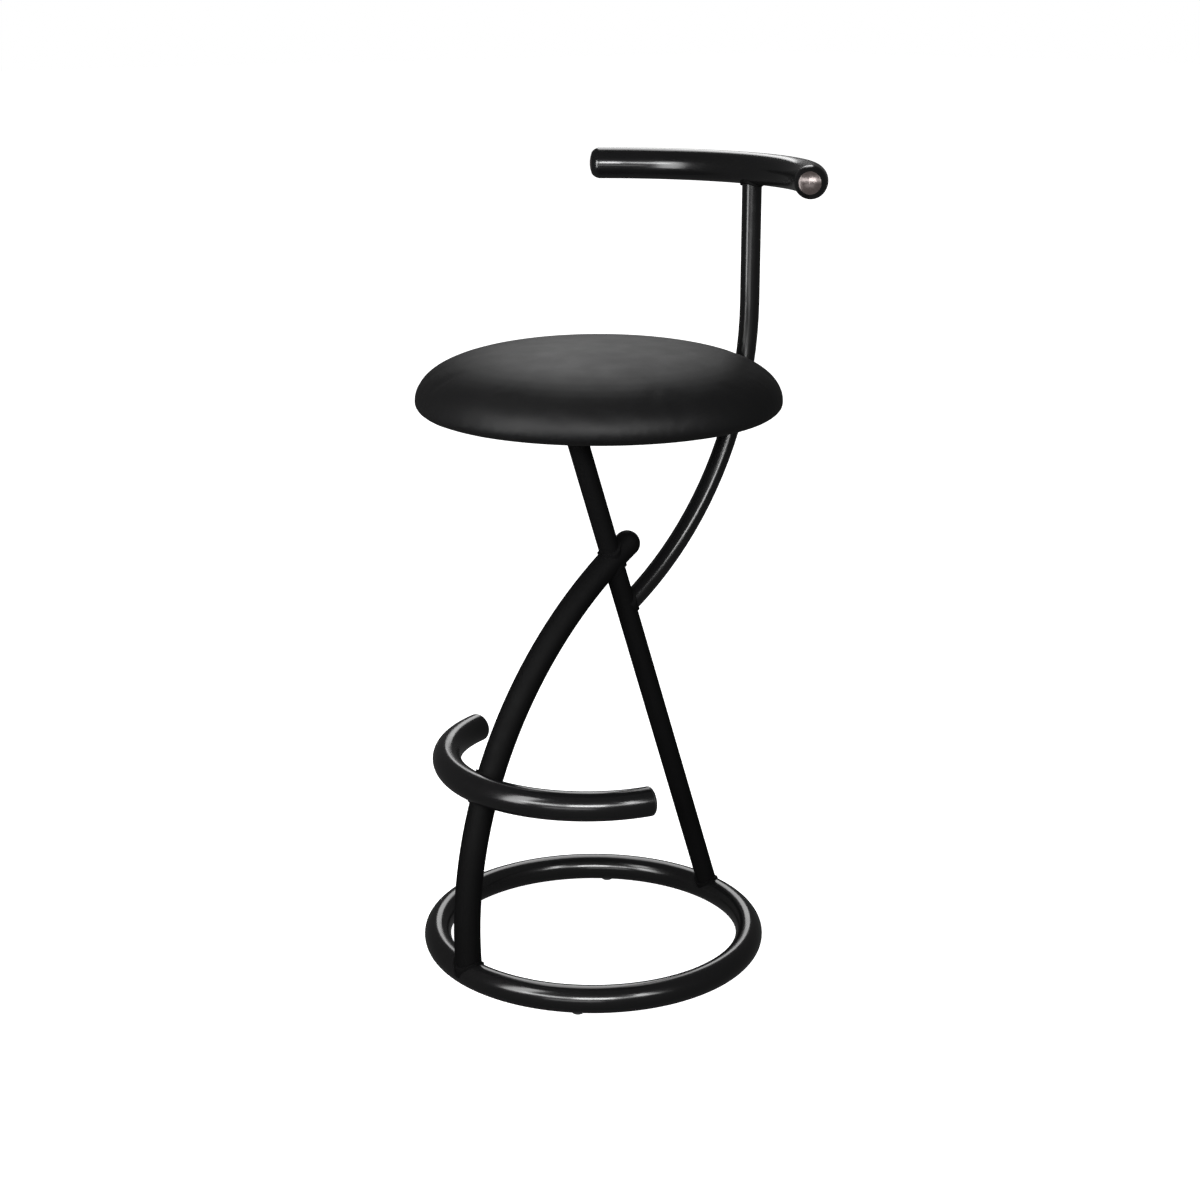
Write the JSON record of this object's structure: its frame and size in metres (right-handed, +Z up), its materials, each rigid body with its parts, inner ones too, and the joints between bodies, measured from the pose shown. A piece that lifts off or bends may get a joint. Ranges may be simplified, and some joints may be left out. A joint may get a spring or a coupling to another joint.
{
  "type": "bar stool with footrest",
  "caption": "Welded round-tube bar stool: ring base, crossed front and rear legs, C-shaped footrest, round domed vinyl seat and a short curved tube backrest on a bent post.",
  "frame": {"origin": "on the floor, under the middle of the whole stool's box, in its plane of symmetry", "axes": "+Z up, +Y towards the backrest, +X to the left of the person sitting on it"},
  "size_m": [0.432, 0.4817, 0.9625],
  "materials": {
    "black_paint": "gloss",
    "black_satin": "satin",
    "black_vinyl": "satin",
    "black_plastic": "satin",
    "glide_nylon": "matte",
    "nickel": "polished",
    "zinc_steel": "satin",
    "plywood": "matte",
    "foam": "matte",
    "dust_cloth": "matte"
  },
  "bodies": {
    "root": {"base_ring": "black_paint", "floor_glides": "glide_nylon", "front_leg": "black_satin", "front_leg_cap": "black_satin", "rear_leg": "black_satin", "back_post": "black_paint", "backrest_tube": "black_paint", "backrest_cap_left": "black_paint", "backrest_cap_right": "black_paint", "backrest_button_left": "nickel", "backrest_button_right": "nickel", "footrest_tube": "black_paint", "footrest_cap_left": "black_plastic", "footrest_cap_right": "black_plastic", "seat_plate": "black_paint", "seat_screws": "zinc_steel", "seat_washers": "zinc_steel", "tee_nuts": "zinc_steel", "seat_board": "plywood", "seat_foam": "foam", "seat_cover": "black_vinyl", "seat_dust_cover": "dust_cloth", "cover_staples": "zinc_steel", "weld_front_foot": "black_satin", "weld_rear_foot": "black_satin", "weld_crossing": "black_satin", "weld_footrest": "black_paint", "weld_post_foot": "black_paint", "weld_backrest": "black_paint", "weld_seat_plate": "black_paint"}
  },
  "joints": []
}
